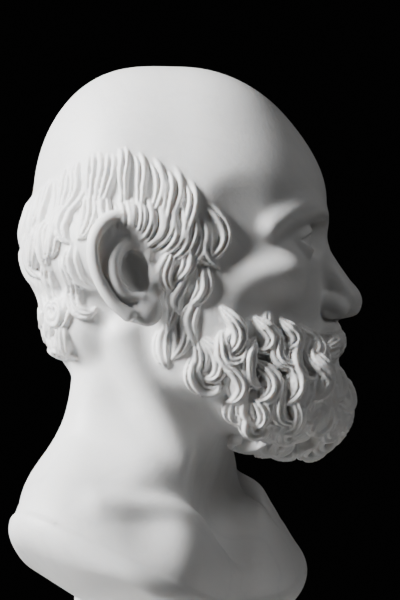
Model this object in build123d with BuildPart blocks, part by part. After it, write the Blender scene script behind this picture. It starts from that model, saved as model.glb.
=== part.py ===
from build123d import *
import math
import os

# A marble statuette bust of a bald, bearded old man on a turned socle, as it is put together.
#
# Frame: millimetres, +Z up, origin on the dowel axis at the underside of the felt. The chest and
# the plinth face -Y, and the head is turned to its own left. The head's masses are placed in a
# frame of their own, turned by HEAD_TURN about the same vertical axis, with -Y towards the nose.

# ---- Driving dimensions ---------------------------------------------------------------------
TOTAL_HEIGHT = 255.0
HEAD_HEIGHT = 120.0  # chin to crown
HEAD_TURN = 30.0  # degrees, to the bust's own left
SHOULDER_HALF_WIDTH = 70.0
SHOULDER_HALF_DEPTH = 36.0

FELT_HEIGHT = 2.0
PLINTH_SIDE = 80.0
PLINTH_HEIGHT = 16.0
SOCLE_HEIGHT = 43.0
SEAT_THICKNESS = 1.0
BOSS_RADIUS = 28.0

DOWEL_RADIUS = 4.0
DOWEL_CLEARANCE = 0.05  # running fit in the sleeve, on the radius
SLEEVE_RADIUS = 5.5
SLEEVE_DEPTH = 24.0
BEDDING_THICKNESS = 1.5
DOWEL_IN_BUST = 34.0
STUD_RADIUS = 3.0  # M6
STUD_IN_SOCLE = 16.0
STUD_CLEARANCE = 0.4  # in the plinth, on the radius
RECESS_RADIUS = 11.0
RECESS_DEPTH = 9.0
NUT_FLATS = 10.0
NUT_THICKNESS = 4.4
WASHER_RADIUS = 8.0
WASHER_THICKNESS = 1.2
SPRING_RADIUS = 5.2
SPRING_THICKNESS = 1.4
SEAT_WASHER_RADIUS = 25.0
SEAT_WASHER_HOLE = 6.0

# ---- Levels worked out from them --------------------------------------------------------------
PLINTH_BASE = FELT_HEIGHT
SOCLE_BASE = PLINTH_BASE + PLINTH_HEIGHT
SEAT_BASE = SOCLE_BASE + SOCLE_HEIGHT
BUST_BASE = SEAT_BASE + SEAT_THICKNESS
CHIN = TOTAL_HEIGHT - HEAD_HEIGHT
THIRD = HEAD_HEIGHT / 3.5  # the canon's facial third: chin, nose base, brow, hairline
NOSE_BASE = CHIN + THIRD
BROW = CHIN + 2 * THIRD
EYES = CHIN + HEAD_HEIGHT / 2
EYE_WIDTH = HEAD_HEIGHT * 0.127  # a fifth of the head's width
RECESS_CEILING = PLINTH_BASE + RECESS_DEPTH
WASHER_BASE = RECESS_CEILING - WASHER_THICKNESS
SPRING_BASE = WASHER_BASE - SPRING_THICKNESS
STUD_TOP = SOCLE_BASE + STUD_IN_SOCLE - 0.5

HEAD_FRAME = Plane.XY.rotated((0, 0, HEAD_TURN))
RING_POINTS = 20


# ---- Shapes that repeat ---------------------------------------------------------------------------
def oval_points(half_width, front, back, power):
    """Points of a rounded oval from y = -front to y = back, squarer as the power rises above 2."""
    middle, half_depth = (back - front) / 2, (back + front) / 2
    points = []
    for k in range(RING_POINTS):
        turn = 2 * math.pi * k / RING_POINTS
        across, along = math.cos(turn), math.sin(turn)
        reach = (abs(across / half_width) ** power + abs(along / half_depth) ** power) ** (-1 / power)
        points.append((reach * across, middle + reach * along))
    return points


def stacked_ovals(frame, ovals):
    """A solid lofted through (height, half width, front, back, power) ovals."""
    with BuildPart() as stack:
        for height, half_width, front, back, power in ovals:
            with BuildSketch(frame.offset(height)):
                with BuildLine():
                    Spline(*oval_points(half_width, front, back, power), periodic=True)
                make_face()
        loft()
    return stack.part


def ellipsoid(half_width, half_depth, half_height):
    """An ellipsoid about the origin."""
    with BuildPart() as ball:
        Sphere(1)
        scale(by=(half_width, half_depth, half_height))
    return ball.part


def in_head(x, y, z, tilt_x=0.0, tilt_y=0.0, tilt_z=0.0):
    """A place and a tilt in the head's frame."""
    return HEAD_FRAME.location * Location((x, y, z), (tilt_x, tilt_y, tilt_z))


def tube(radius, inner_radius, low, high):
    """A plain vertical ring or rod on the dowel axis."""
    with BuildPart() as ring:
        with BuildSketch(Plane.XY.offset(low)):
            Circle(radius)
            if inner_radius:
                Circle(inner_radius, mode=Mode.SUBTRACT)
        extrude(amount=high - low)
    return ring.part


# ---- The bust -------------------------------------------------------------------------------------
def torso():
    """Shoulders and chest, cut below to an arc across the chest that climbs towards the back."""
    side, deep = SHOULDER_HALF_WIDTH, SHOULDER_HALF_DEPTH
    ovals = [
        (BUST_BASE + 3, side * 1.02, deep, deep * 0.94, 2.8),
        (BUST_BASE + 17, side * 1.02, deep, deep, 2.8),
        (BUST_BASE + 31, side * 0.95, deep * 0.9, deep * 1.06, 2.7),
        (BUST_BASE + 45, side * 0.83, deep * 0.72, deep * 1.02, 2.5),
        (BUST_BASE + 58, side * 0.63, deep * 0.66, deep * 0.92, 2.3),
        (BUST_BASE + 74, side * 0.32, deep * 0.60, deep * 0.78, 2.1),
    ]
    arc_rise = 24.0  # from the middle of the chest to the shoulder's end
    rim_radius = 2.0
    arc_radius = (SHOULDER_HALF_WIDTH**2 + arc_rise**2) / (2 * arc_rise)
    back_slope = 15.0  # degrees
    arc_centre = Location((0, 0, BUST_BASE + 4 + arc_radius))
    body = stacked_ovals(Plane.XY, ovals)
    with BuildPart() as cut_body:
        add(body)
        for slope in (0.0, back_slope):
            with Locations(arc_centre * Location((0, 0, 0), (90 + slope, 0, 0))):
                Cylinder(arc_radius, 6 * SHOULDER_HALF_DEPTH, mode=Mode.INTERSECT)
        rim = cut_body.edges().filter_by(lambda edge: edge.center().Z < BUST_BASE + 35)
        outer_rim = rim.filter_by(lambda edge: abs(edge.center().Y) > SHOULDER_HALF_DEPTH / 2)
        fillet(outer_rim, rim_radius)
    return cut_body.part


def neck():
    """The neck, spreading into the shoulders."""
    ovals = [
        (BUST_BASE + 40, 26, 22, 30, 2),
        (BUST_BASE + 58, 28, 25, 34, 2),
        (BUST_BASE + 78, 25, 26, 30, 2),
        (BUST_BASE + 96, 27, 28, 32, 2),
        (BUST_BASE + 118, 30, 30, 34, 2),
    ]
    return stacked_ovals(HEAD_FRAME, ovals)


def skull():
    """The bald cranium and, under it, the face and jaw block."""
    face_ovals = [
        (CHIN, 15, 55, -14, 2.2),
        (CHIN + 0.45 * THIRD, 26, 59, 4, 2.3),
        (NOSE_BASE, 33, 59, 14, 2.3),
        (EYES, 37, 54, 20, 2.3),
        (BROW + 6, 38, 56, 20, 2.3),
        (BROW + 15, 34, 49, 20, 2.2),
    ]
    dome = ellipsoid(40, 50, 47)
    face = stacked_ovals(HEAD_FRAME, face_ovals)
    with BuildPart() as head:
        add(face)
        with Locations(in_head(0, -6, TOTAL_HEIGHT - 47)):
            add(dome)
    return head.part


def eyes_brow_and_nose():
    """Sockets cut in, then eyeballs, a brow roll and a straight nose on the canon's levels."""
    socket = ellipsoid(10, 7, 7.5)
    brow_roll = ellipsoid(13, 5, 4)
    with BuildPart() as sockets:
        for side in (-1, 1):
            with Locations(in_head(side * EYE_WIDTH, -56, EYES)):
                add(socket)
    nose_ovals = [
        (NOSE_BASE + 1.5, 8, 70, -50, 2.0),
        (NOSE_BASE + 6, 8, 72, -50, 2.0),
        (NOSE_BASE + 18, 5.5, 64, -46, 2.0),
        (EYES + 1, 4.5, 58, -44, 2.0),
        (BROW + 4, 7, 57, -44, 2.0),
    ]
    nose = stacked_ovals(HEAD_FRAME, nose_ovals)
    with BuildPart() as features:
        add(nose)
        for side in (-1, 1):
            with Locations(in_head(side * EYE_WIDTH, -44.5, EYES - 0.5)):
                Sphere(7.6)
            with Locations(in_head(side * EYE_WIDTH, -51, BROW + 1, 0, side * 6, side * 14)):
                add(brow_roll)
    return sockets.part, features.part


def ear_parts(side):
    """One ear shell, leaning back, and the hollow that is cut in it."""
    shell = ellipsoid(5, 11.5, 19)
    hollow = ellipsoid(4.5, 6, 10)
    lean = -16
    with BuildPart() as ear:
        with Locations(in_head(side * 40, 8.5, NOSE_BASE + 16.5, lean, 0, side * 20)):
            add(shell)
    with BuildPart() as cavity:
        with Locations(in_head(side * 45, 7, NOSE_BASE + 16, lean, 0, side * 20)):
            add(hollow)
    return ear.part, cavity.part


def hair():
    """The hair round the back and sides under the bald dome, with a row of curls on the nape."""
    cap = ellipsoid(44, 41, 33)
    nape = ellipsoid(30, 16, 24)
    curl = ellipsoid(6.5, 5.5, 6)
    with BuildPart() as mass:
        with Locations(in_head(0, 7, NOSE_BASE + 24)):
            add(cap)
        with Locations(in_head(0, 27, NOSE_BASE + 1)):
            add(nape)
        for level, reach, count in ((NOSE_BASE - 12, 29, 5), (NOSE_BASE - 1, 35, 7)):
            for k in range(count):
                angle = 90 + (k - (count - 1) / 2) * 100 / (count - 1)
                x = reach * math.cos(math.radians(angle))
                y = 10 + (reach - 5) * math.sin(math.radians(angle))
                with Locations(in_head(x, y, level)):
                    add(curl)
    return mass.part


def lock_places(ovals, count, sweep):
    """Places and outward angles of locks spread round the front of a level's oval."""
    height, half_width, front, back = ovals
    middle, half_depth = (back - front) / 2, (back + front) / 2
    for k in range(count):
        angle = -90 + (k - (count - 1) / 2) * sweep / (count - 1)
        across, along = math.cos(math.radians(angle)), math.sin(math.radians(angle))
        outward = math.degrees(math.atan2(along / half_depth, across / half_width))
        yield half_width * across, middle + half_depth * along, height, outward


def beard():
    """The beard's mass from the sideburns round the chin, carved into staggered, swirling locks."""
    ovals = [
        (CHIN - 15, 13, 58, -30, 2.2),
        (CHIN - 11, 22, 64, -22, 2.2),
        (CHIN, 31, 67.5, -10, 2.3),
        (CHIN + 0.4 * THIRD, 34.5, 66.5, -3, 2.3),
        (CHIN + 0.7 * THIRD, 36, 63, 0, 2.3),
        (NOSE_BASE, 35, 56, 2, 2.2),
    ]
    body = stacked_ovals(HEAD_FRAME, ovals)
    lock = ellipsoid(4.6, 4.6, 9.5)
    whisker = ellipsoid(11, 5.5, 5)
    rows = (
        (CHIN - 8, 24.5, 64, -20, 7, 120, -20),
        (CHIN + 1, 30.5, 66, -10, 10, 165, 24),
        (CHIN + 11, 33, 66, -3, 11, 160, -24),
        (CHIN + 21, 34, 63, 0, 12, 165, 24),
    )
    with BuildPart() as mass:
        add(body)
        for level, half_width, front, back, count, sweep, tilt in rows:
            for x, y, z, outward in lock_places((level, half_width, front, back), count, sweep):
                with Locations(in_head(x, y, z, 0, 0, outward + 90) * Location((0, 0, 0), (0, tilt, 0))):
                    add(lock)
        for side in (-1, 1):
            with Locations(in_head(side * 9, -60, NOSE_BASE - 7, 0, side * 30, side * 16)):
                add(whisker)
    return mass.part


def marble_bust():
    """The whole carved block: one piece of marble with a round boss below and a blind dowel hole."""
    sockets, features = eyes_brow_and_nose()
    ears = [ear_parts(side) for side in (-1, 1)]
    masses = [neck(), skull(), hair(), beard()]
    shoulders = torso()
    with BuildPart() as block:
        add(shoulders)
        with BuildSketch(Plane.XY.offset(BUST_BASE)):
            Circle(BOSS_RADIUS)
        extrude(amount=25)
        for mass in masses:
            add(mass)
        add(sockets, mode=Mode.SUBTRACT)
        add(features)
        for ear, cavity in ears:
            add(ear)
            add(cavity, mode=Mode.SUBTRACT)
        with BuildSketch(Plane.XY.offset(BUST_BASE)):
            Circle(DOWEL_RADIUS + BEDDING_THICKNESS)
        extrude(amount=DOWEL_IN_BUST, mode=Mode.SUBTRACT)
    return block


# ---- The turned socle and the plinth -----------------------------------------------------------
def turned_socle():
    """A turned socle: seat disc, hollow waist and foot roll, bored for the sleeve and the stud."""
    seat_radius, waist_radius, foot_radius = 31.0, 20.0, 36.0
    top, base = SEAT_BASE, SOCLE_BASE
    with BuildPart() as turned:
        with BuildSketch(Plane.XZ):
            with BuildLine():
                Polyline((0, base), (foot_radius - 1, base))
                ThreePointArc((foot_radius - 1, base), (foot_radius + 2, base + 4), (foot_radius - 1, base + 8))
                Polyline((foot_radius - 1, base + 8), (foot_radius - 4, base + 8), (foot_radius - 4, base + 10.5))
                ThreePointArc(
                    (foot_radius - 4, base + 10.5),
                    (waist_radius, base + 22),
                    (seat_radius - 4, top - 9),
                )
                Polyline((seat_radius - 4, top - 9), (seat_radius - 4, top - 7))
                ThreePointArc((seat_radius - 4, top - 7), (seat_radius, top - 3.5), (seat_radius - 2, top))
                Polyline((seat_radius - 2, top), (0, top), (0, base))
            make_face()
        revolve(axis=Axis.Z)
        with Locations((0, 0, top)):
            Hole(SLEEVE_RADIUS, SLEEVE_DEPTH)
        with BuildSketch(Plane.XY.offset(base)):
            Circle(STUD_RADIUS + BEDDING_THICKNESS)
        extrude(amount=STUD_IN_SOCLE, mode=Mode.SUBTRACT)
    return turned


def square_plinth():
    """A square marble slab, its top edge eased by a cavetto step, counterbored below for the nut."""
    step = 3.0
    with BuildPart() as slab:
        with BuildSketch(Plane.XY.offset(PLINTH_BASE)):
            Rectangle(PLINTH_SIDE, PLINTH_SIDE)
        extrude(amount=PLINTH_HEIGHT - step)
        with BuildSketch(Plane.XY.offset(PLINTH_BASE + PLINTH_HEIGHT - step)):
            Rectangle(PLINTH_SIDE - step, PLINTH_SIDE - step)
        extrude(amount=step)
        chamfer(slab.edges().filter_by(Axis.Z), 0.6)
        with BuildSketch(Plane.XY.offset(PLINTH_BASE)):
            Circle(STUD_RADIUS + STUD_CLEARANCE)
        extrude(amount=PLINTH_HEIGHT, mode=Mode.SUBTRACT)
        with BuildSketch(Plane.XY.offset(PLINTH_BASE)):
            Circle(RECESS_RADIUS)
        extrude(amount=RECESS_DEPTH, mode=Mode.SUBTRACT)
    return slab


# ---- Fixings ---------------------------------------------------------------------------------------
def dowel_pin():
    """The steel dowel set in the bust, chamfered at both ends."""
    low = SEAT_BASE - SLEEVE_DEPTH + 2
    with BuildPart() as pin:
        with BuildSketch(Plane.XY.offset(low)):
            Circle(DOWEL_RADIUS)
        extrude(amount=BUST_BASE + DOWEL_IN_BUST - low)
        chamfer(pin.edges().filter_by(GeomType.CIRCLE), 0.8)
    return pin


def dowel_sleeve():
    """The brass liner pressed into the socle."""
    with BuildPart() as sleeve:
        add(tube(SLEEVE_RADIUS, DOWEL_RADIUS + DOWEL_CLEARANCE, SEAT_BASE - SLEEVE_DEPTH, SEAT_BASE))
    return sleeve


def hex_nut():
    """A plain M6 nut under the spring washer."""
    with BuildPart() as nut:
        with BuildSketch(Plane.XY.offset(SPRING_BASE - NUT_THICKNESS)):
            RegularPolygon(NUT_FLATS / 2, 6, major_radius=False)
            Circle(STUD_RADIUS, mode=Mode.SUBTRACT)
        extrude(amount=NUT_THICKNESS)
    return nut


def spring_washer():
    """A split ring."""
    split = 0.8
    with BuildPart() as ring:
        add(tube(SPRING_RADIUS, STUD_RADIUS + 0.1, SPRING_BASE, WASHER_BASE))
        with BuildSketch(Plane.XY.offset(SPRING_BASE)):
            with Locations((SPRING_RADIUS - 1, 0)):
                Rectangle(4, split)
        extrude(amount=SPRING_THICKNESS, mode=Mode.SUBTRACT)
    return ring


def ring_part(radius, inner_radius, low, high):
    """A piece that is a plain ring or rod."""
    with BuildPart() as ring:
        add(tube(radius, inner_radius, low, high))
    return ring


def felt_pad():
    """The felt under the plinth, a little smaller than it."""
    inset = 2.0
    with BuildPart() as pad:
        with BuildSketch():
            RectangleRounded(PLINTH_SIDE - 2 * inset, PLINTH_SIDE - 2 * inset, 3)
        extrude(amount=FELT_HEIGHT)
    return pad


def main():
    os.makedirs("parts", exist_ok=True)
    bedding_radius = DOWEL_RADIUS + BEDDING_THICKNESS
    stud_bedding_radius = STUD_RADIUS + BEDDING_THICKNESS
    dowel_top = BUST_BASE + DOWEL_IN_BUST
    pieces = {
        "bust": marble_bust(),
        "dowel_pin": dowel_pin(),
        "dowel_bedding": ring_part(bedding_radius, DOWEL_RADIUS, BUST_BASE, dowel_top - 0.8),
        "seat_washer": ring_part(SEAT_WASHER_RADIUS, SEAT_WASHER_HOLE, SEAT_BASE, BUST_BASE),
        "socle": turned_socle(),
        "dowel_sleeve": dowel_sleeve(),
        "tie_stud": ring_part(STUD_RADIUS, 0, PLINTH_BASE + 1, STUD_TOP),
        "stud_bedding": ring_part(stud_bedding_radius, STUD_RADIUS, SOCLE_BASE, STUD_TOP),
        "plinth": square_plinth(),
        "plinth_washer": ring_part(WASHER_RADIUS, STUD_RADIUS + 0.2, WASHER_BASE, RECESS_CEILING),
        "spring_washer": spring_washer(),
        "plinth_nut": hex_nut(),
        "felt_pad": felt_pad(),
    }
    for name, piece in pieces.items():
        piece.part.label = name
        export_step(piece.part, f"parts/{name}.step")


main()
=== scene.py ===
import math
import random

import bpy
import numpy as np
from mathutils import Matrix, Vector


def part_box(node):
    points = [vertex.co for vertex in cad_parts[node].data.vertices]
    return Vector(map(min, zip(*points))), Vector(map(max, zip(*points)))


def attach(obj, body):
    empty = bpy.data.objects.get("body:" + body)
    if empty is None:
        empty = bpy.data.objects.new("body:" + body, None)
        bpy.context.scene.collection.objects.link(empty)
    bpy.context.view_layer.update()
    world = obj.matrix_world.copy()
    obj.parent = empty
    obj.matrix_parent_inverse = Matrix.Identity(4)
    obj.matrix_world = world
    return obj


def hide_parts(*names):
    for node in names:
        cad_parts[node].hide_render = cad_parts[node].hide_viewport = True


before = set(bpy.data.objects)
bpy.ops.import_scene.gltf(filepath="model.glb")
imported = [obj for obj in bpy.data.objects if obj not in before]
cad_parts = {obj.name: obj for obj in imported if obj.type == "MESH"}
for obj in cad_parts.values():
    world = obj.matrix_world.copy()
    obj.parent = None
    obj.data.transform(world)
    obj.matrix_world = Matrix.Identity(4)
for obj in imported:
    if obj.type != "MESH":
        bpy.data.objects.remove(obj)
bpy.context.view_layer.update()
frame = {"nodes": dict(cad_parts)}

import openvdb
from mathutils import Matrix, Vector

MM = 0.001

# ---- Driving dimensions, in millimetres ---------------------------------------------------------
BUST_HIGH = [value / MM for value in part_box("bust")[1]]
SOCLE_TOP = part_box("seat_washer")[1][2] / MM
HEAD_HEIGHT = 120.0  # chin to crown
HEAD_TURN = 30.0  # degrees, to the bust's own left
SHOULDER_HALF_WIDTH = 70.0
SHOULDER_HALF_DEPTH = 36.0
BOSS_RADIUS = 28.0
DOWEL_HOLE = 5.5
DOWEL_IN_BUST = 34.0

# Levels on the classical canon: three equal parts from chin to hairline, eyes half-way up.
CROWN = BUST_HIGH[2]
CHIN = CROWN - HEAD_HEIGHT
THIRD = HEAD_HEIGHT / 3.5
NOSE_BASE = CHIN + THIRD
BROW = CHIN + 2 * THIRD
EYES = CHIN + HEAD_HEIGHT / 2
JAW_FRONT = 0.46 * HEAD_HEIGHT  # how far the jaw stands before the neck's axis
BEARD_DROP = THIRD / 3  # how far the beard hangs below the chin
BEARD_DEPTH = THIRD / 4  # how far it stands out from the jaw
MOUTH = NOSE_BASE - THIRD / 3
EYE_WIDTH = HEAD_HEIGHT * 0.127
BUST_BASE = SOCLE_TOP

PITCH = 0.45  # of the sculpting grid
FAR = 10.0  # the field's value away from everything
MOST_TRIANGLES = 190000
SKIN_STEP = 2.0  # degrees between the skin's rays
DIP_REACH = 18  # millimetres of level that turn a skin's ray by one radian below its pivot
HAIRLINE_CROWN = 255  # the crown that the hairline's levels were set for

TURN_COS = math.cos(math.radians(HEAD_TURN))
TURN_SIN = math.sin(math.radians(HEAD_TURN))


# ---- Clay: a signed-distance field on a grid in the head's own frame ------------------------------
def soft_min(a, b, soft):
    """The smaller of two distances, filleted where they are within soft of each other."""
    near = np.maximum(soft - np.abs(a - b), 0)
    return np.minimum(a, b) - near * near / (4 * soft)


def soft_max(a, b, soft):
    return -soft_min(-a, -b, soft)


def to_head(x, y):
    """A point of the row's frame in the head's frame."""
    return TURN_COS * x + TURN_SIN * y, TURN_COS * y - TURN_SIN * x


def to_row(x, y):
    return TURN_COS * x - TURN_SIN * y, TURN_SIN * x + TURN_COS * y


def tilt_matrix(tilt):
    """Rotation by degrees about X, then Y, then Z."""
    about_x, about_y, about_z = (math.radians(angle) for angle in tilt)
    spin = Matrix.Rotation
    return np.array(spin(about_z, 3, "Z") @ spin(about_y, 3, "Y") @ spin(about_x, 3, "X"))


class Ellipsoid:
    def __init__(self, centre, radii, tilt=(0, 0, 0)):
        self.centre, self.radii = centre, radii
        self.turned = tilt_matrix(tilt) if any(tilt) else None
        reach = (max(radii),) * 3 if any(tilt) else radii
        self.low = np.subtract(centre, reach)
        self.high = np.add(centre, reach)

    def __call__(self, x, y, z):
        local = [axis - middle for axis, middle in zip((x, y, z), self.centre)]
        if self.turned is not None:
            local = [sum(self.turned[row][k] * local[row] for row in range(3)) for k in range(3)]
        unit = sum((axis / radius) ** 2 for axis, radius in zip(local, self.radii))
        slope = sum((axis / radius**2) ** 2 for axis, radius in zip(local, self.radii))
        size = np.sqrt(unit)
        return size * (size - 1) / np.sqrt(slope + 1e-9)


class Tube:
    """A round bar through points, its radius changing from each to the next."""

    def __init__(self, points, radii):
        self.points = np.array(points, float)
        self.radii = np.broadcast_to(radii, len(self.points)).astype(float)
        self.low = (self.points - self.radii[:, None]).min(axis=0)
        self.high = (self.points + self.radii[:, None]).max(axis=0)

    def __call__(self, x, y, z):
        nearest = None
        for k in range(len(self.points) - 1):
            start = self.points[k]
            run = self.points[k + 1] - start
            px, py, pz = x - start[0], y - start[1], z - start[2]
            along = (px * run[0] + py * run[1] + pz * run[2]) / max(run @ run, 1e-9)
            along = np.clip(along, 0, 1)
            away = (px - along * run[0]) ** 2 + (py - along * run[1]) ** 2 + (pz - along * run[2]) ** 2
            away = np.sqrt(away) - (self.radii[k] + along * (self.radii[k + 1] - self.radii[k]))
            nearest = away if nearest is None else np.minimum(nearest, away)
        return nearest


def flowing(points, radii, between=4):
    """A tube whose line and radius run smoothly through the points, as a Catmull-Rom curve."""
    knots = np.column_stack((np.array(points, float), np.broadcast_to(radii, len(points))))
    ends = np.vstack((2 * knots[0] - knots[1], knots, 2 * knots[-1] - knots[-2]))
    path = []
    for a, b, c, d in zip(ends, ends[1:], ends[2:], ends[3:]):
        for t in np.arange(between) / between:
            path.append(b + 0.5 * t * (c - a + t * (2 * a - 5 * b + 4 * c - d + t * (3 * (b - c) + d - a))))
    path = np.array(path + [knots[-1]])
    return Tube(path[:, :3], path[:, 3])


class Ribbon:
    """A flat lock along a line, ribbed lengthwise into strands that run together at its tip."""

    def __init__(self, points, normals, half_widths, heights, strands, phase):
        self.points, self.strands, self.phase = points, strands, phase
        forward = np.gradient(points, axis=0)
        forward /= np.linalg.norm(forward, axis=1, keepdims=True)
        across = np.cross(forward, normals)
        across /= np.linalg.norm(across, axis=1, keepdims=True)
        self.frames = np.column_stack((forward, across, np.cross(across, forward), half_widths, heights))
        reach = np.maximum(half_widths, heights)[:, None] + 0.5
        self.low = (points - reach).min(axis=0)
        self.high = (points + reach).max(axis=0)

    def __call__(self, x, y, z):
        best, place = None, None
        for k in range(len(self.points) - 1):
            start = self.points[k]
            run = self.points[k + 1] - start
            px, py, pz = x - start[0], y - start[1], z - start[2]
            along = np.clip((px * run[0] + py * run[1] + pz * run[2]) / max(run @ run, 1e-9), 0, 1)
            away = (px - along * run[0]) ** 2 + (py - along * run[1]) ** 2 + (pz - along * run[2]) ** 2
            if best is None:
                best, place = away, along
            else:
                nearer = away < best
                best = np.where(nearer, away, best)
                place = np.where(nearer, k + along, place)
        knots = np.arange(len(self.points))
        spot = [np.interp(place, knots, self.points[:, c]) for c in range(3)]
        frame = [np.interp(place, knots, self.frames[:, c]) for c in range(11)]
        px, py, pz = x - spot[0], y - spot[1], z - spot[2]
        ahead = px * frame[0] + py * frame[1] + pz * frame[2]
        aside = px * frame[3] + py * frame[4] + pz * frame[5]
        above = px * frame[6] + py * frame[7] + pz * frame[8]
        width, height = frame[9], frame[10]
        reach = np.sqrt((ahead / width) ** 2 + (aside / width) ** 2 + (above / height) ** 2) + 1e-6
        steep = np.sqrt((ahead / width**2) ** 2 + (aside / width**2) ** 2 + (above / height**2) ** 2) + 1e-6
        share = np.clip(aside / width, -1, 1)
        share = share + 0.10 * np.sin(math.pi * share + self.phase) + 0.08 * np.sin(place * 0.45 + self.phase)
        arch = np.abs(np.sin(0.5 * math.pi * self.strands * (share + 1))) ** 0.8
        valley = 1.15 * width / self.strands * (1 - arch)
        return reach * (reach - 1) / steep + np.minimum(valley, 1.6)


class Clay:
    """The field: negative inside the marble."""

    def __init__(self, low, high, pitch):
        self.low = np.array(low, float)
        self.pitch = pitch
        self.count = np.ceil((np.array(high) - self.low) / pitch).astype(int) + 1
        self.field = np.full(self.count, FAR, np.float32)
        self.axes = [(self.low[k] + pitch * np.arange(self.count[k])).astype(np.float32) for k in range(3)]

    def window(self, low, high, margin):
        first = np.floor((np.array(low) - margin - self.low) / self.pitch).astype(int)
        last = np.ceil((np.array(high) + margin - self.low) / self.pitch).astype(int) + 1
        first, last = np.clip(first, 0, self.count), np.clip(last, 0, self.count)
        where = tuple(slice(a, b) for a, b in zip(first, last))
        x, y, z = (axis[part] for axis, part in zip(self.axes, where))
        return where, x[:, None, None], y[None, :, None], z[None, None, :]

    def add(self, shape, soft=1.0):
        where, x, y, z = self.window(shape.low, shape.high, FAR + 1 if soft > 2 else 3)
        self.field[where] = soft_min(self.field[where], shape(x, y, z), soft)

    def cut(self, shape, soft=1.0):
        where, x, y, z = self.window(shape.low, shape.high, soft + 1)
        self.field[where] = soft_max(self.field[where], -shape(x, y, z), soft)

    def merge(self, other, soft):
        self.field = soft_min(self.field, other.field, soft)

    def sample(self, points):
        """The field at an array of points, from the eight grid points round each."""
        spot = (points - self.low) / self.pitch
        spot = np.clip(spot, 0, self.count - 1.001)
        corner = spot.astype(int)
        part = spot - corner
        total = 0
        for dx in (0, 1):
            for dy in (0, 1):
                for dz in (0, 1):
                    share = [np.abs(1 - step - part[..., k]) for k, step in enumerate((dx, dy, dz))]
                    x, y, z = corner[..., 0] + dx, corner[..., 1] + dy, corner[..., 2] + dz
                    total = total + share[0] * share[1] * share[2] * self.field[x, y, z]
        return total


def spline(heights, values, z):
    """A natural cubic through (heights, values), read at z."""
    heights, values = np.array(heights, float), np.array(values, float)
    count = len(heights)
    step = np.diff(heights)
    system = np.eye(count)
    pull = np.zeros(count)
    for k in range(1, count - 1):
        system[k, k - 1 : k + 2] = step[k - 1], 2 * (step[k - 1] + step[k]), step[k]
        pull[k] = 6 * ((values[k + 1] - values[k]) / step[k] - (values[k] - values[k - 1]) / step[k - 1])
    bend = np.linalg.solve(system, pull)
    k = np.clip(np.searchsorted(heights, z) - 1, 0, count - 2)
    z = np.clip(z, heights[0], heights[-1])
    a, b, h = heights[k + 1] - z, z - heights[k], step[k]
    return (
        bend[k] * a**3 / (6 * h)
        + bend[k + 1] * b**3 / (6 * h)
        + (values[k] / h - bend[k] * h / 6) * a
        + (values[k + 1] / h - bend[k + 1] * h / 6) * b
    )


class Stack:
    """A column of (height, half width, front, back, power) ovals, turned back to the row's frame if asked."""

    def __init__(self, ovals, in_row=False):
        self.ovals, self.in_row = ovals, in_row
        reach = max(max(oval[1:4]) for oval in ovals)
        self.low = np.array((-reach * 1.2, -reach * 1.2, ovals[0][0]))
        self.high = np.array((reach * 1.2, reach * 1.2, ovals[-1][0]))

    def __call__(self, x, y, z):
        heights = [oval[0] for oval in self.ovals]
        level = z.ravel()
        half_width, front, back, power = (
            spline(heights, [oval[k] for oval in self.ovals], level).astype(np.float32) for k in (1, 2, 3, 4)
        )
        middle, half_depth = (back - front) / 2, (back + front) / 2
        if self.in_row:
            x, y = to_row(x, y)
        y = y - middle
        size = (np.abs(x / half_width) ** power + np.abs(y / half_depth) ** power) ** (1 / power)
        reach = np.sqrt(x * x + y * y) + 1e-6
        growth = (x * x * np.gradient(half_width, level) + y * y * np.gradient(half_depth, level)) / reach**2
        side = reach * (1 - 1 / (size + 1e-6)) / np.sqrt(1 + growth**2)
        return np.maximum(side, np.maximum(z - heights[-1], self.low[2] - z))


# ---- Shoulders and neck ---------------------------------------------------------------------------
def in_row(x, y, z):
    """A point given in the row's frame, where the chest faces -Y."""
    return (*to_head(x, y), z)


def torso(clay):
    side, deep = SHOULDER_HALF_WIDTH, SHOULDER_HALF_DEPTH
    clay.add(Stack([
        (BUST_BASE + 3, side * 0.98, deep * 1.06, deep * 0.80, 3.1),
        (BUST_BASE + 17, side * 0.98, deep * 1.06, deep * 0.86, 3.0),
        (BUST_BASE + 31, side * 0.93, deep * 0.96, deep * 0.98, 2.4),
        (BUST_BASE + 45, side * 0.83, deep * 0.70, deep * 1.0, 2.3),
        (BUST_BASE + 58, side * 0.58, deep * 0.62, deep * 0.96, 2.2),
        (BUST_BASE + 82, side * 0.08, deep * 0.15, deep * 0.15, 2.1),
    ], in_row=True), 3)
    for side in (-1, 1):
        clay.add(Ellipsoid(in_row(side * 50, 3, BUST_BASE + 30), (15, 21, 19.5)), 10)  # shoulder
        clay.add(Ellipsoid(in_row(side * 23, -19, BUST_BASE + 22), (22, 14, 21)), 12)  # chest
        clay.add(Ellipsoid(in_row(side * 28, 24, BUST_BASE + 34), (17, 11, 20)), 8)  # shoulder blade
        slope = [(side * 9, 16, NOSE_BASE - 14), in_row(side * 22, 13, BUST_BASE + 60),
                 in_row(side * 46, 8, BUST_BASE + 45)]
        clay.add(Tube(slope, (10, 11, 8)), 12)  # trapezius
    clay.cut(Tube([in_row(0, 44, BUST_BASE + 60), in_row(0, 44, BUST_BASE + 20)], 3.5), 8)


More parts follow.
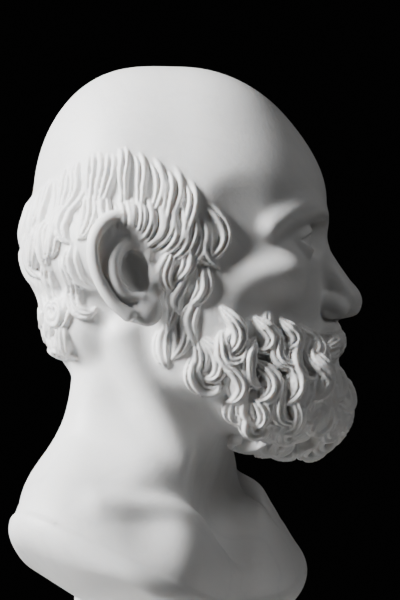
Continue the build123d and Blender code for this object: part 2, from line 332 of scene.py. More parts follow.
def neck(clay):
    clay.add(Stack([
        (BUST_BASE + 40, 26, 22, 28, 2),
        (BUST_BASE + 58, 26, 24, 31, 2),
        (BUST_BASE + 78, 24, 24, 25, 2),
        (BUST_BASE + 96, 27, 28, 28, 2),
        (BUST_BASE + 118, 30, 30, 34, 2),
    ]), 9)
    for side in (-1, 1):
        notch = in_row(side * 6, -26, BUST_BASE + 37)
        clay.add(Tube([(side * 26, 11, NOSE_BASE - 6), (side * 22.5, -2, CHIN + 2), notch], (5, 4.5, 2.2)), 8)
        collar = [notch, in_row(side * 18, -28, BUST_BASE + 37.5),
                  in_row(side * 34, -21, BUST_BASE + 43), in_row(side * 51, -8, BUST_BASE + 44)]
        clay.add(flowing(collar, (2.4, 1.9, 2.0, 2.6)), 8)
        clay.cut(Ellipsoid(in_row(side * 9, -31, BUST_BASE + 50), (6, 8, 13)), 8)
    clay.cut(Ellipsoid(in_row(0, -31, BUST_BASE + 43), (5, 6, 7)), 6)
    for side in (-1, 1):
        clay.cut(Ellipsoid((side * 19.5, -29.5, CHIN - 21), (10, 15, 26), (8, 0, 0)), 6)


def cut_below(clay):
    """The arc across the chest, climbing to the back, and the slightly proud band along its rounded rim."""
    arc_rise, upturn, rim = 29.5, 2.8, 6.0
    back_rise = 0.50  # of the distance behind the dowel
    band_height, band_proud = 6.0, 0.9
    where, x, y, z = clay.window((-90, -90, 0), (90, 90, BUST_BASE + 75), 0)
    x, y = to_row(x, y)
    reach = np.abs(x) / SHOULDER_HALF_WIDTH
    steep = arc_rise * upturn / SHOULDER_HALF_WIDTH * np.minimum(reach, 1.1) ** (upturn - 1)
    level = z - BUST_BASE - 4 - arc_rise * np.minimum(reach, 1.2) ** upturn
    climb = back_rise * soft_max(y, 0.0 * y, 12)
    under = (climb - level) / np.sqrt(1 + steep**2 + np.where(y > 0, back_rise**2, 0))
    step = np.clip((-under - band_height) / 3, 0, 1)
    fade = 1 - np.clip((z - BUST_BASE - 40) / 20, 0, 1)
    body = clay.field[where] + band_proud * step * step * (3 - 2 * step) * fade
    clay.field[where] = soft_max(body, under, rim)


def boss(clay):
    where, x, y, z = clay.window((-40, -40, 50), (40, 40, BUST_BASE + 34), 0)
    reach = np.sqrt(x * x + y * y)
    disc = soft_max(reach - BOSS_RADIUS, np.maximum(BUST_BASE - z, z - BUST_BASE - 25), 0.8)
    clay.field[where] = soft_min(clay.field[where], disc, 1.5)
    hole = np.maximum(reach - DOWEL_HOLE, z - BUST_BASE - DOWEL_IN_BUST)
    clay.field[where] = np.maximum(clay.field[where], -hole)


# ---- Head -------------------------------------------------------------------------------------------
def cranium(clay):
    clay.add(Ellipsoid((0, -8, CROWN - 48.5), (39.5, 48, 48.5)), 1)
    clay.add(Ellipsoid((0, 8, CROWN - 43), (38, 33, 42)), 6)


def face_block(clay):
    clay.add(Ellipsoid((0, -16, BROW + 6), (36.5, 41, 28)), 8)
    clay.add(Ellipsoid((0, -22, NOSE_BASE + 9), (33.5, 35, 40)), 8)
    clay.add(Ellipsoid((0, -28, CHIN + 19), (28, 31, 24)), 8)
    for side in (-1, 1):
        clay.add(Ellipsoid((side * 24, -38, EYES - 11), (11, 13, 8.5), (0, side * 12, side * 18)), 7)
        clay.cut(Ellipsoid((side * 45, -36, BROW + 1), (8, 15, 12)), 8)
        clay.cut(Ellipsoid((side * 39, -44, NOSE_BASE - 1), (9, 12, 13)), 10)
        clay.add(Ellipsoid((side * 23, -12, NOSE_BASE - 11), (9.5, 15, 14)), 8)


def brow(clay):
    for side in (-1, 1):
        ridge = [(side * 3, -54.5, BROW - 1.5), (side * 9, -54.5, BROW - 0.5), (side * 17, -52.5, BROW + 2),
                 (side * 25, -46.5, BROW + 1), (side * 31, -39, BROW - 4)]
        clay.add(flowing(ridge, (3.4, 3.8, 3.6, 3.2, 2.6)), 5)
        socket = Ellipsoid((side * (EYE_WIDTH + 0.6), -59.5, EYES + 0.8), (10.5, 9.5, 6.6), (0, 0, side * 12))
        clay.cut(socket, 4)
        clay.cut(Ellipsoid((side * (EYE_WIDTH - 7.5), -55.5, EYES + 1.5), (4, 5, 5)), 4)


def eye(clay, side):
    """An eyeball in an almond-shaped opening between two lids, with no pupil cut."""
    centre = np.array((side * EYE_WIDTH, -44.2, EYES - 0.3))
    ball, lid = 8.6, 9.9
    clay.add(Ellipsoid(centre, (ball,) * 3), 0.5)
    half_width, upper, lower = 8.3, 3.3, 2.3
    where, x, y, z = clay.window(centre - lid, centre + lid, 3)
    across = (x - centre[0]) / half_width
    bow = np.maximum(1 - across**2, -0.8)
    height = z - centre[2] - 0.06 * side * (x - centre[0])
    opening = np.maximum(height - upper * bow, -lower * bow - height) * 0.9
    shell = Ellipsoid(centre, (lid,) * 3)(x, y, z)
    lids = soft_max(shell, -opening, 0.5)
    clay.field[where] = soft_min(clay.field[where], lids, 0.7)
    # the fold over the upper lid
    fold = []
    for reach in (-0.9, -0.5, 0, 0.5, 0.9):
        crease = centre[1] - 9.6 * math.cos(0.95 * reach)
        fold.append((centre[0] + reach * 8.6, crease, centre[2] + 5.6 - 2.6 * reach * reach))
    clay.cut(flowing(fold, (0.3, 0.6, 0.7, 0.6, 0.3)), 1.0)


def nose(clay):
    bridge = [(0, -50, EYES + 6), (0, -53.5, EYES), (0, -58.5, EYES - 9), (0, -64, NOSE_BASE + 8)]
    clay.add(flowing(bridge, (4.4, 3.9, 4.3, 4.8)), 5)
    clay.add(Ellipsoid((0, -65.3, NOSE_BASE + 5.2), (5.0, 5.4, 4.8)), 3)
    for side in (-1, 1):
        clay.add(Ellipsoid((side * 5.4, -60.3, NOSE_BASE + 3.6), (3.7, 5.8, 4.0), (20, 0, side * 16)), 2.2)
    clay.add(Tube([(0, -67.5, NOSE_BASE + 2.6), (0, -59, NOSE_BASE + 0.2)], (2.0, 2.2)), 1.6)
    for side in (-1, 1):
        clay.cut(Ellipsoid((side * 3.7, -61.8, NOSE_BASE - 0.2), (1.9, 3.6, 2.5), (12, 0, side * 18)), 1.2)


def mouth(clay):
    """The lips, in a hollow left clear of the beard."""
    clay.cut(Ellipsoid((0, -67.5, MOUTH - 2), (10.5, 8.5, 5.5)), 2.5)
    clay.add(Ellipsoid((0, -55.5, MOUTH + 3.8), (12, 6.5, 5.5)), 5)
    clay.add(Ellipsoid((0, -58.8, MOUTH + 1.6), (9.5, 3.8, 2.2)), 1.6)
    clay.add(Ellipsoid((0, -57.8, MOUTH - 3), (8.6, 4.0, 2.8)), 1.6)
    seam = [(side * 11.5, -58.5 + abs(side) * 2.5, MOUTH - 0.6) for side in (-1, -0.5, 0, 0.5, 1)]
    clay.cut(Tube(seam, 0.75), 1.4)


def ear(clay, side):
    """The rolled rim, the inner fold, the bowl and the lobe, in a plane that leans and flares back."""
    lean = math.radians(17)
    flare = 0.42
    origin = np.array((side * 38.6, 8.0, NOSE_BASE + 15.8))
    forward = np.array((0, -math.cos(lean), math.sin(lean)))
    up = np.array((0, math.sin(lean), math.cos(lean)))
    outward = np.array((side, 0, 0))

    def at(u, v, w):
        return origin + u * forward + v * up + (w - flare * u) * outward

    tilt = (-17, 0, -side * math.degrees(math.atan(flare)))
    clay.add(Ellipsoid(at(-1, 0, -0.5), (3.0, 10.5, 18), tilt), 2.5)
    clay.cut(Ellipsoid(at(0, 1.5, 4.4), (3.8, 8.8, 14.8), tilt), 1.5)
    clay.add(Ellipsoid(at(0.5, -1.0, -4.0), (4.6, 7.2, 12.5), tilt), 3)
    rim = [(3, -4, 0.5), (6.5, 2, 1.5), (9.2, 8, 2), (8.6, 13.5, 2.4), (4, 17.6, 2.8), (-2.5, 18, 3),
           (-8, 14, 3), (-10.6, 7, 2.6), (-10.6, -1, 2.0), (-8.6, -8.5, 1.6), (-5, -14, 1.2)]
    rim_radii = (1.2, 1.5, 1.8, 2.0, 2.2, 2.2, 2.2, 2.1, 2.0, 2.0, 2.4)
    clay.add(flowing([at(*spot) for spot in rim], rim_radii), 0.9)
    fold = [(4.5, 10, 0.8), (-1, 9, 1.4), (-5, 4.5, 1.9), (-6, -2, 1.9), (-4, -7.5, 1.5), (0.5, -9.5, 1.4)]
    clay.add(flowing([at(*spot) for spot in fold], (1.3, 1.9, 2.3, 2.3, 2.0, 1.8)), 1.2)
    clay.cut(Ellipsoid(at(1.6, -1.0, 0.4), (4.2, 4.8, 7.0), tilt), 1.4)
    clay.add(Ellipsoid(at(7.2, -4.2, 0.6), (2.0, 2.2, 3.6), tilt), 1.5)
    clay.add(Ellipsoid(at(1.5, -14.5, 0.4), (2.7, 5.4, 5.4), tilt), 2)


# ---- Hair and beard ---------------------------------------------------------------------------------
def hair_mass(clay):
    cap = Ellipsoid((0, 7.6, NOSE_BASE + 25.5), (42.0, 37.8, 29.0))
    where, x, y, z = clay.window(cap.low, cap.high, 8)
    mass = cap(x, y, z)
    for side in (-1, 1):
        mass = soft_max(mass, -Ellipsoid((side * 48, 3, NOSE_BASE + 12), (13, 18, 24))(x, y, z), 4)
    clay.field[where] = soft_min(clay.field[where], mass, 5)
    clay.add(Ellipsoid((0, 21.5, NOSE_BASE + 2), (29, 16.2, 22)), 3)


def beard_mass(clay):
    """Cheeks, middle and tip, and a bar on each side for the moustache."""
    front = JAW_FRONT + BEARD_DEPTH
    middle = 1.1 * THIRD
    tip = 1.4 * THIRD
    clay.add(Ellipsoid((0, -0.73 * THIRD, CHIN + THIRD / 2), (0.89 * THIRD, THIRD / 2, THIRD / 2)), 4)
    clay.add(Ellipsoid((0, -middle, CHIN + THIRD / 3), (0.81 * THIRD, front - middle, 0.6 * THIRD)), 4)
    clay.add(Ellipsoid((0, -tip, CHIN + THIRD / 8), (THIRD / 2, front - tip, THIRD / 8 + BEARD_DROP)), 4)
    for side in (-1, 1):
        bar = [(side * 2.5, -60.5, NOSE_BASE - 4), (side * 10, -60.5, NOSE_BASE - 7),
               (side * 18, -56, NOSE_BASE - 14), (side * 22, -52, NOSE_BASE - 22)]
        clay.add(Tube(bar, (2.6, 3.4, 3.2, 2.6)), 2)


class Skin:
    """The clay's surface round a vertical axis, which locks are laid along. A spot on it has a turn from the
    nose, in radians, and a level in millimetres. Below the pivot the rays dip instead of moving down, to
    reach the underside."""

    def __init__(self, clay, axis_y, low, high, pivot):
        self.axis_y, self.low, self.pivot = axis_y, low, pivot
        self.turns = np.radians(np.arange(-180, 181, SKIN_STEP))
        self.levels = np.arange(low, high, 1.0)
        reach = np.arange(3, 84, 0.5)
        turn, level, radius = np.meshgrid(self.turns, self.levels, reach, indexing="ij")
        value = clay.sample(self.along(turn, level, radius))
        index = np.clip(np.argmax(value > 0, axis=2) - 1, 0, len(reach) - 2)
        here = np.take_along_axis(value, index[..., None], axis=2)[..., 0]
        beyond = np.take_along_axis(value, index[..., None] + 1, axis=2)[..., 0]
        self.radius = reach[index] + 0.5 * np.clip(here / (here - beyond + 1e-9), 0, 1)
        for _ in range(5):
            padded = np.pad(self.radius, ((1, 1), (1, 1)), mode="edge")
            beside = padded[:-2, 1:-1] + padded[2:, 1:-1] + padded[1:-1, :-2] + padded[1:-1, 2:]
            self.radius = (beside + 2 * self.radius) / 6

    def along(self, turn, level, radius):
        dip = np.clip((self.pivot - level) / DIP_REACH, 0, 0.5 * math.pi)
        out = radius * np.cos(dip)
        height = np.maximum(level, self.pivot) - radius * np.sin(dip)
        return np.stack((out * np.sin(turn), self.axis_y - out * np.cos(turn), height), axis=-1)

    def read(self, turn, level):
        turn = (np.asarray(turn) + math.pi) % (2 * math.pi)
        a = turn / math.radians(SKIN_STEP)
        b = np.clip(level - self.low, 0, len(self.levels) - 1.001)
        i, j = np.minimum(a.astype(int), len(self.turns) - 2), np.asarray(b).astype(int)
        u, v = a - i, b - j
        grid = self.radius
        lower = grid[i, j] * (1 - u) + grid[i + 1, j] * u
        upper = grid[i, j + 1] * (1 - u) + grid[i + 1, j + 1] * u
        return lower * (1 - v) + upper * v

    def spot(self, turn, level):
        return self.along(turn, level, self.read(turn, level))

    def slopes(self, turn, level):
        """How the spot moves per radian of turn and per millimetre of level."""
        around = (self.spot(turn + 0.04, level) - self.spot(turn - 0.04, level)) / 0.08
        upward = (self.spot(turn, level + 1.5) - self.spot(turn, level - 1.5)) / 3
        return around, upward

    def normal(self, turn, level):
        around, upward = self.slopes(turn, level)
        normal = np.cross(around, upward)
        normal /= np.linalg.norm(normal, axis=-1, keepdims=True) + 1e-9
        outward = self.along(turn, level, 60.0) - self.along(turn, level, 0.0)
        return normal * np.sign((normal * outward).sum(axis=-1, keepdims=True))


def lock(clay, skin, draw, turn, level, heading, length, strands, bend=0, sway=0, hook=0, lift=0.0,
         pitch=2.1, thick=2.4, root=0.45, tip=0.16):
    """A lock laid along the skin, its strands gathered at the tip. Angles are in degrees. A heading of 0 runs
    down and a positive one towards the bust's left; bend turns it evenly along the lock, sway is an S and
    hook curls the tip."""
    steps = max(7, int(length / 1.25))
    step = length / steps
    t = np.linspace(0, 1, steps + 1)
    course = np.radians(heading + bend * t + sway * np.sin(2 * math.pi * t) + hook * t**3)
    turns, levels = [math.radians(turn)], [level]
    for k in range(steps):
        around, upward = skin.slopes(np.array(turns[-1]), np.array(levels[-1]))
        turns.append(turns[-1] + step * math.sin(course[k]) / max(np.linalg.norm(around), 7.0))
        levels.append(levels[-1] - step * math.cos(course[k]) / max(np.linalg.norm(upward), 0.6))
    turns, levels = np.array(turns), np.array(levels)
    rise = np.interp(t, (0, 0.25, 0.7, 1), (-0.45 * thick, 0, 0.3, -0.3)) + lift
    normals = skin.normal(turns, levels)
    points = skin.spot(turns, levels) + normals * rise[:, None]
    taper = np.interp(t, (0, 0.12, 0.4, 0.75, 1), (root, 0.5 + 0.5 * root, 1, 0.72, tip))
    half_width = pitch * strands / 2 * taper
    swell = np.interp(t, (0, 0.2, 0.55, 0.85, 1), (0.5, 0.9, 1, 0.85, 0.5))
    height = thick * swell * draw.uniform(0.88, 1.12)
    ribbon = Ribbon(points, normals, half_width, height, strands, draw.uniform(0, 2 * math.pi))
    where, x, y, z = clay.window(ribbon.low, ribbon.high, 0.6)
    clay.field[where] = soft_min(clay.field[where], ribbon(x, y, z), 0.35)


def hairline(turn):
    """The level at which the hair starts, by degrees round from the nose."""
    turns = (56, 60, 66, 78, 95, 112, 125, 150, 180)
    levels = (202, 208, 215, 222, 226, 225, 221, 215, 210)
    return np.interp(abs(turn), turns, levels) - (CROWN - HAIRLINE_CROWN)


def hair_locks(clay, skin):
    draw = random.Random(11)
    # the nape and the back, from the lowest tier up, so that each tier lies over the roots of the one below
    tiers = ((50, 134, 10.0), (40, 124, 9.5), (28, 116, 9.0), (15, 106, 8.5))
    for tier, (drop, edge, gap) in enumerate(tiers):
        count = int((360 - 2 * edge) / gap)
        for k in range(count + 1):
            turn = edge + (k + 0.5 * (tier % 2)) * (360 - 2 * edge) / (count + 0.5)
            wave = 1 if (k + tier) % 2 else -1
            level = hairline(min(turn, 360 - turn)) - drop + draw.uniform(-2, 2)
            lock(clay, skin, draw, turn, level, wave * draw.uniform(10, 30), draw.uniform(16, 21), 3,
                 bend=-wave * draw.uniform(30, 70), sway=draw.uniform(-15, 15),
                 hook=-wave * (50 if tier > 1 else 150), pitch=2.8, thick=2.6)
    # the hairline: strands leave the scalp, swing forward and sweep down and back towards the ear
    for side in (-1, 1):
        front = -side
        for k in range(9):
            turn = side * (62 + 5.0 * k)
            level = hairline(turn) - 9 - 1.2 * k + draw.uniform(-1, 1)
            lock(clay, skin, draw, turn, level, front * 30, 18, 2, bend=-front * 90, pitch=3.0, thick=2.3,
                 root=0.8, tip=0.5)
        for k in range(16):
            turn = side * (60 + 7.6 * k)
            near_ear = max(0.0, 1 - k / 9)
            level = hairline(turn) + draw.uniform(-1.5, 0.5)
            lock(clay, skin, draw, turn, level, front * (42 * near_ear + draw.uniform(-10, 10)),
                 draw.uniform(18, 22) + 5 * near_ear, draw.choice((2, 3)),
                 bend=-front * (100 * near_ear + 10),
                 sway=draw.uniform(-20, 20), lift=-0.2, pitch=2.8, thick=2.3, root=0.9, tip=0.55)
        # in front of the ear, down into the beard
        for k in range(10):
            wave = 1 if k % 2 else -1
            lock(clay, skin, draw, side * (59 + 7 * (k % 3)), NOSE_BASE + 31 - 4.2 * k,
                 front * draw.uniform(0, 25) * wave, 17, 3, bend=-front * wave * 45, sway=14 * wave,
                 pitch=2.4, thick=2.2)


def nape_curls(clay, skin):
    """Two tiers of snail curls low on the back of the head."""
    draw = random.Random(23)
    for tier, (level, count, gap) in enumerate(((NOSE_BASE - 8, 6, 15), (NOSE_BASE + 5, 7, 15))):
        for k in range(count):
            turn = 180 + (k - (count - 1) / 2) * gap
            hand = 1 if (k + tier) % 2 else -1
            lock(clay, skin, draw, turn - hand * 4, level + draw.uniform(-1.5, 1.5), 30 * hand, 23, 2,
                 bend=-300 * hand, hook=-170 * hand, lift=0.5, pitch=2.8, thick=2.9)


def beard_locks(clay, skin):
    draw = random.Random(5)
    # snail curls along the lower edge and under it
    edges = ((CHIN - 14, 84, 6), (CHIN - 5, 92, 10), (CHIN + 1, 100, 13))  # level, furthest angle, count
    for tier, (level, furthest, count) in enumerate(edges):
        for k in range(count):
            hand = 1 if (k + tier) % 2 else -1
            turn = furthest * (2 * k / (count - 1) - 1)
            lock(clay, skin, draw, turn - hand * 4, level + draw.uniform(-1.5, 1.5), 25 * hand,
                 draw.uniform(17, 21), 2, bend=-hand * draw.uniform(180, 260), hook=-150 * hand,
                 lift=draw.choice((0.4, 1.6)), pitch=2.9, thick=3.6)
    tiers = (  # root level, furthest angle from the nose, nearest angle, spacing, length
        (CHIN + 4, 106, 0, 15.0, 14),
        (CHIN + 10, 110, 0, 13.0, 16),
        (CHIN + 12, 116, 0, 11.0, 18),
        (CHIN + 20, 124, 22, 9.8, 19),
        (CHIN + 28, 126, 34, 9.2, 20),
        (CHIN + 36, 112, 45, 9.0, 18),
    )
    for tier, (level, furthest, nearest, spacing, length) in enumerate(tiers):
        count = int((furthest - nearest) / spacing)
        for side in (-1, 1):
            for k in range(count + 1):
                turn = side * (nearest + (k + 0.5 * (tier % 2)) * (furthest - nearest) / (count + 0.5))
                wave = side * (1 if (k + tier) % 2 else -1)
                back = max(0.0, (abs(turn) - 60) / 60)
                root = level + draw.uniform(-2.5, 2.5) - (4 if tier == 5 and abs(turn) < 84 else 0)
                lock(clay, skin, draw, turn, root, wave * draw.uniform(20, 45) - side * 12 * back,
                     length + draw.uniform(-3, 3), 3, bend=-wave * draw.uniform(45, 90),
                     sway=wave * draw.uniform(0, 20),
                     hook=-wave * draw.uniform(60, 170), lift=(1.7 if k % 2 else 0.2) - 0.1 * tier, pitch=2.5,
                     thick=4.2 - 0.15 * tier, root=0.35, tip=0.22)


def moustache(clay, skin):
    draw = random.Random(3)
    for side in (-1, 1):
        for k in range(3):
            lock(clay, skin, draw, side * (4 + 6 * k), NOSE_BASE - 9 + 1.8 * k, side * 78, 25 - 2 * k, 3,
                 bend=side * -80, hook=side * 150, lift=0.2, pitch=1.9, thick=2.3)


def sculpt():
    low, high = (-80, -76, BUST_BASE - 3), (80, 68, CROWN + 3)
    clay = Clay(low, high, PITCH)
    cranium(clay)
    face_block(clay)
    brow(clay)
    for side in (-1, 1):
        eye(clay, side)
    nose(clay)
    hair_mass(clay)
    beard_mass(clay)
    mouth(clay)
    scalp = Skin(clay, 6.0, NOSE_BASE - 24, BROW + 32, NOSE_BASE - 24)
    cheeks = Skin(clay, -36.0, CHIN - 24, NOSE_BASE + 40, CHIN + 5)
    body = Clay(low, high, PITCH)
    torso(body)
    neck(body)
    cut_below(body)
    boss(body)
    clay.merge(body, 4)
    hair_locks(clay, scalp)
    nape_curls(clay, scalp)
    beard_locks(clay, cheeks)
    moustache(clay, cheeks)
    for side in (-1, 1):
        ear(clay, side)
    return clay


def largest_piece(points, quads):
    """The quads of the largest connected surface, without crumbs and closed pockets."""
    label = np.arange(len(points))
    while True:
        lowest = label[quads].min(axis=1)
        spread = label.copy()
        for corner in range(4):
            np.minimum.at(spread, quads[:, corner], lowest)
        spread = spread[spread]
        if np.array_equal(spread, label):
            break
        label = spread
    names, counts = np.unique(label[quads[:, 0]], return_counts=True)
    quads = quads[label[quads[:, 0]] == names[np.argmax(counts)]]
    used, quads = np.unique(quads, return_inverse=True)
    return points[used], quads.reshape(-1, 4)


def carved_mesh(clay, name):
    """The clay's surface as a mesh in the row's frame, in metres."""
    band = 3 * clay.pitch
    grid = openvdb.FloatGrid(band)
    grid.copyFromArray(np.clip(clay.field, -band, band))
    points, quads = largest_piece(*grid.convertToQuads(0.0))
    points = points * clay.pitch + clay.low
    x, y = to_row(points[:, 0], points[:, 1])
    points = np.stack((x, y, points[:, 2]), axis=1) * MM
    mesh = bpy.data.meshes.new(name)
    mesh.vertices.add(len(points))
    mesh.vertices.foreach_set("co", points.astype(np.float32).ravel())
    mesh.loops.add(4 * len(quads))
    mesh.loops.foreach_set("vertex_index", quads.astype(np.int32).ravel())
    mesh.polygons.add(len(quads))
    mesh.polygons.foreach_set("loop_start", np.arange(0, 4 * len(quads), 4, dtype=np.int32))
    mesh.polygons.foreach_set("use_smooth", np.ones(len(quads), bool))
    mesh.update(calc_edges=True)
    mesh.validate()
    return mesh


def thin_out(piece, most):
    """Collapse the flattest faces until the piece has at most this many triangles."""
    triangles = sum(len(face.vertices) - 2 for face in piece.data.polygons)
    if triangles <= most:
        return
    shrink = piece.modifiers.new("thin out", "DECIMATE")
    shrink.ratio = most / triangles
    shrink.use_collapse_triangulate = True
    depsgraph = bpy.context.evaluated_depsgraph_get()
    thinned = bpy.data.meshes.new_from_object(piece.evaluated_get(depsgraph), depsgraph=depsgraph)
    piece.modifiers.clear()
    piece.data = thinned


# ---- Materials ------------------------------------------------------------------------------------------
class Shader:
    """A Principled material and the few nodes that these finishes share."""

    def __init__(self, name, **values):
        self.material = bpy.data.materials.new(name)
        self.material.use_nodes = True
        self.nodes, self.links = self.material.node_tree.nodes, self.material.node_tree.links
        self.surface = self.nodes["Principled BSDF"]
        self.place = self.nodes.new("ShaderNodeTexCoord").outputs["Object"]
        for socket, value in values.items():
            self.surface.inputs[socket.replace("_", " ")].default_value = value

    def stretched(self, scale):
        mapping = self.nodes.new("ShaderNodeMapping")
        mapping.inputs["Scale"].default_value = scale
        self.links.new(self.place, mapping.inputs["Vector"])
        return mapping.outputs["Vector"]

    def noise(self, scale, detail=4.0, roughness=0.55, distortion=0.0, vector=None):
        node = self.nodes.new("ShaderNodeTexNoise")
        values = {"Scale": scale, "Detail": detail, "Roughness": roughness, "Distortion": distortion}
        for socket, value in values.items():
            node.inputs[socket].default_value = value
        self.links.new(vector or self.place, node.inputs["Vector"])
        return node.outputs["Fac"]

    def ramp(self, factor, *stops):
        node = self.nodes.new("ShaderNodeValToRGB")
        elements = node.color_ramp.elements
        while len(elements) < len(stops):
            elements.new(0.5)
        for element, (position, colour) in zip(elements, stops):
            element.position = position
            element.color = (*colour, 1)
        self.links.new(factor, node.inputs["Fac"])
        return node.outputs["Color"]

    def spread(self, factor, low, high):
        node = self.nodes.new("ShaderNodeMapRange")
        node.inputs["To Min"].default_value = low
        node.inputs["To Max"].default_value = high
        self.links.new(factor, node.inputs["Value"])
        return node.outputs["Result"]

    def mix(self, factor, first, second):
        node = self.nodes.new("ShaderNodeMix")
        node.data_type = "RGBA"
        if isinstance(factor, float):
            node.inputs["Factor"].default_value = factor
        else:
            self.links.new(factor, node.inputs["Factor"])
        self.links.new(first, node.inputs["A"])
        self.links.new(second, node.inputs["B"])
        return node.outputs["Result"]

    def wire(self, **sources):
        for socket, source in sources.items():
            self.links.new(source, self.surface.inputs[socket.replace("_", " ")])

    def bump(self, height, distance):
        node = self.nodes.new("ShaderNodeBump")
        node.inputs["Distance"].default_value = distance
        node.inputs["Strength"].default_value = 1.0
        self.links.new(height, node.inputs["Height"])
        self.links.new(node.outputs["Normal"], self.surface.inputs["Normal"])


def marble(name, veining, roughness):
    stone = Shader(name, Subsurface_Weight=0.45, Subsurface_Radius=(1.0, 0.92, 0.85),
                   Subsurface_Scale=0.0012, IOR=1.5)
    cloud = stone.noise(22.0, detail=6.0, distortion=0.6)
    body = stone.ramp(cloud, (0.30, (0.84, 0.84, 0.835)), (0.62, (0.90, 0.895, 0.885)))
    drift = stone.noise(9.0, detail=8.0, roughness=0.62, distortion=2.2)
    line = stone.ramp(drift, (0.47, (0, 0, 0)), (0.50, (veining,) * 3), (0.53, (0, 0, 0)))
    grey = stone.ramp(cloud, (0.0, (0.50, 0.51, 0.53)), (1.0, (0.62, 0.62, 0.63)))
    stone.wire(Base_Color=stone.mix(line, body, grey))
    stone.wire(Roughness=stone.spread(stone.noise(160.0), *roughness))
    stone.bump(stone.noise(900.0, detail=3.0), 0.00005)
    return stone.material


def turned_metal(name, dark, light, roughness):
    metal = Shader(name, Metallic=1.0)
    lathe = metal.noise(90.0, detail=5.0, vector=metal.stretched((1, 1, 40)))
    metal.wire(Base_Color=metal.ramp(lathe, (0.3, dark), (0.7, light)))
    metal.wire(Roughness=metal.spread(lathe, *roughness))
    metal.bump(lathe, 0.00003)
    return metal.material


def resin():
    cast = Shader("resin", Subsurface_Weight=0.2, Subsurface_Scale=0.001)
    grain = cast.noise(600.0)
    cast.wire(Base_Color=cast.ramp(grain, (0.3, (0.70, 0.66, 0.58)), (0.7, (0.82, 0.79, 0.72))))
    cast.wire(Roughness=cast.spread(grain, 0.4, 0.6))
    cast.bump(grain, 0.00005)
    return cast.material


def nylon():
    sheet = Shader("nylon", Subsurface_Weight=0.3, Subsurface_Scale=0.001)
    grain = sheet.noise(300.0, detail=2.0)
    sheet.wire(Base_Color=sheet.ramp(grain, (0.3, (0.84, 0.83, 0.79)), (0.7, (0.90, 0.89, 0.86))))
    sheet.wire(Roughness=sheet.spread(grain, 0.35, 0.5))
    sheet.bump(grain, 0.00002)
    return sheet.material


def felt():
    wool = Shader("felt", Sheen_Weight=0.5, Sheen_Roughness=0.5)
    fibre = wool.noise(1400.0, detail=6.0, roughness=0.7, distortion=1.5)
    matting = wool.noise(180.0, detail=3.0)
    colour = wool.mix(0.35, wool.ramp(fibre, (0.3, (0.045, 0.12, 0.07)), (0.7, (0.10, 0.24, 0.14))),
                      wool.ramp(matting, (0.3, (0.05, 0.14, 0.08)), (0.7, (0.09, 0.21, 0.125))))
    wool.wire(Base_Color=colour, Roughness=wool.spread(fibre, 0.85, 1.0))
    wool.bump(fibre, 0.0003)
    return wool.material


def finish(node, material):
    mesh = frame["nodes"][node].data
    mesh.materials.clear()
    mesh.materials.append(material)


# ---- The scene --------------------------------------------------------------------------------------------
VIEW_AZIMUTH, VIEW_ELEVATION = -60.0, 0.0
VIEW_DISTANCE = 1.2
FRAME_HEIGHT = 0.2058  # of the scene at the head, seen by the picture's height
FRAME_CENTRE = (0.0151, 0.1751)  # along the picture's right from the dowel axis, and up


def view_axes():
    """Directions from the object to the camera, and to the picture's right."""
    azimuth, elevation = math.radians(VIEW_AZIMUTH), math.radians(VIEW_ELEVATION)
    level = math.cos(elevation)
    back = Vector((math.sin(azimuth) * level, -math.cos(azimuth) * level, math.sin(elevation)))
    return back, Vector((math.cos(azimuth), math.sin(azimuth), 0))


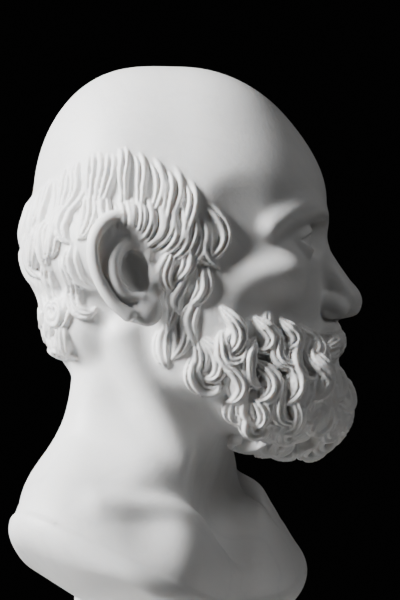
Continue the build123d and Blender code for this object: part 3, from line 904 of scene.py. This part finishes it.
def studio():
    radius, thickness, clearance = 0.14, 0.01, 0.0001
    low = (0, 0, -thickness / 2 - clearance)
    bpy.ops.mesh.primitive_cylinder_add(vertices=128, radius=radius, depth=thickness, location=low)
    floor = bpy.context.object
    floor.name = "floor"
    bevel = floor.modifiers.new("soft edge", "BEVEL")
    bevel.width, bevel.segments = 0.002, 3
    pale = Shader("pale floor")
    speckle = pale.noise(40.0)
    pale.wire(Base_Color=pale.ramp(speckle, (0.3, (0.50, 0.49, 0.48)), (0.7, (0.56, 0.55, 0.54))))
    pale.wire(Roughness=pale.spread(speckle, 0.6, 0.75))
    floor.data.materials.append(pale.material)

    world = bpy.data.worlds.new("dark studio")
    world.use_nodes = True
    world.node_tree.nodes["Background"].inputs["Color"].default_value = (0.0015, 0.0015, 0.0015, 1)
    bpy.context.scene.world = world

    back, right = view_axes()
    head = Vector((0, 0, (EYES - 10) * MM))
    for name, across, towards, up, size, spread, power in (
        ("key", -1.0, 0.42, 0.64, 0.5, 34, 3.5),
        ("fill", 0.95, 0.45, 0.75, 0.5, 160, 1.5),
        ("rim", 1.0, -0.45, 0.45, 0.5, 160, 0.1),
    ):
        light = bpy.data.lights.new(name, "AREA")
        light.shape, light.size, light.energy = "DISK", size, power
        light.spread = math.radians(spread)
        lamp = bpy.data.objects.new(name, light)
        lamp.location = head + right * across + back * towards + Vector((0, 0, up))
        lamp.rotation_euler = (lamp.location - head).to_track_quat("Z", "Y").to_euler()
        bpy.context.collection.objects.link(lamp)


def camera():
    data = bpy.data.cameras.new("camera")
    data.sensor_fit, data.sensor_height = "VERTICAL", 36.0
    data.lens = data.sensor_height * VIEW_DISTANCE / FRAME_HEIGHT
    data.clip_start, data.clip_end = 0.01, 20
    eye_point = bpy.data.objects.new("camera", data)
    back, right = view_axes()
    target = right * FRAME_CENTRE[0] + Vector((0, 0, FRAME_CENTRE[1]))
    eye_point.location = target + back * VIEW_DISTANCE
    eye_point.rotation_euler = back.to_track_quat("Z", "Y").to_euler()
    bpy.context.collection.objects.link(eye_point)
    bpy.context.scene.camera = eye_point


clay = sculpt()
carving = bpy.data.objects.new("bust_carving", carved_mesh(clay, "bust_carving"))
bpy.context.collection.objects.link(carving)
thin_out(carving, MOST_TRIANGLES)
carving.data.materials.append(marble("bust_marble", 0.10, (0.42, 0.55)))
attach(carving, "bust")
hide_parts("bust")

socle_marble = marble("socle_marble", 0.5, (0.28, 0.40))
steel = turned_metal("steel", (0.50, 0.51, 0.53), (0.66, 0.67, 0.69), (0.25, 0.42))
for node in ("socle", "plinth"):
    finish(node, socle_marble)
for node in ("dowel_pin", "tie_stud", "plinth_washer", "spring_washer", "plinth_nut"):
    finish(node, steel)
finish("dowel_sleeve", turned_metal("brass", (0.62, 0.46, 0.20), (0.80, 0.63, 0.32), (0.22, 0.38)))
bedding = resin()
for node in ("dowel_bedding", "stud_bedding"):
    finish(node, bedding)
finish("seat_washer", nylon())
finish("felt_pad", felt())

studio()
camera()
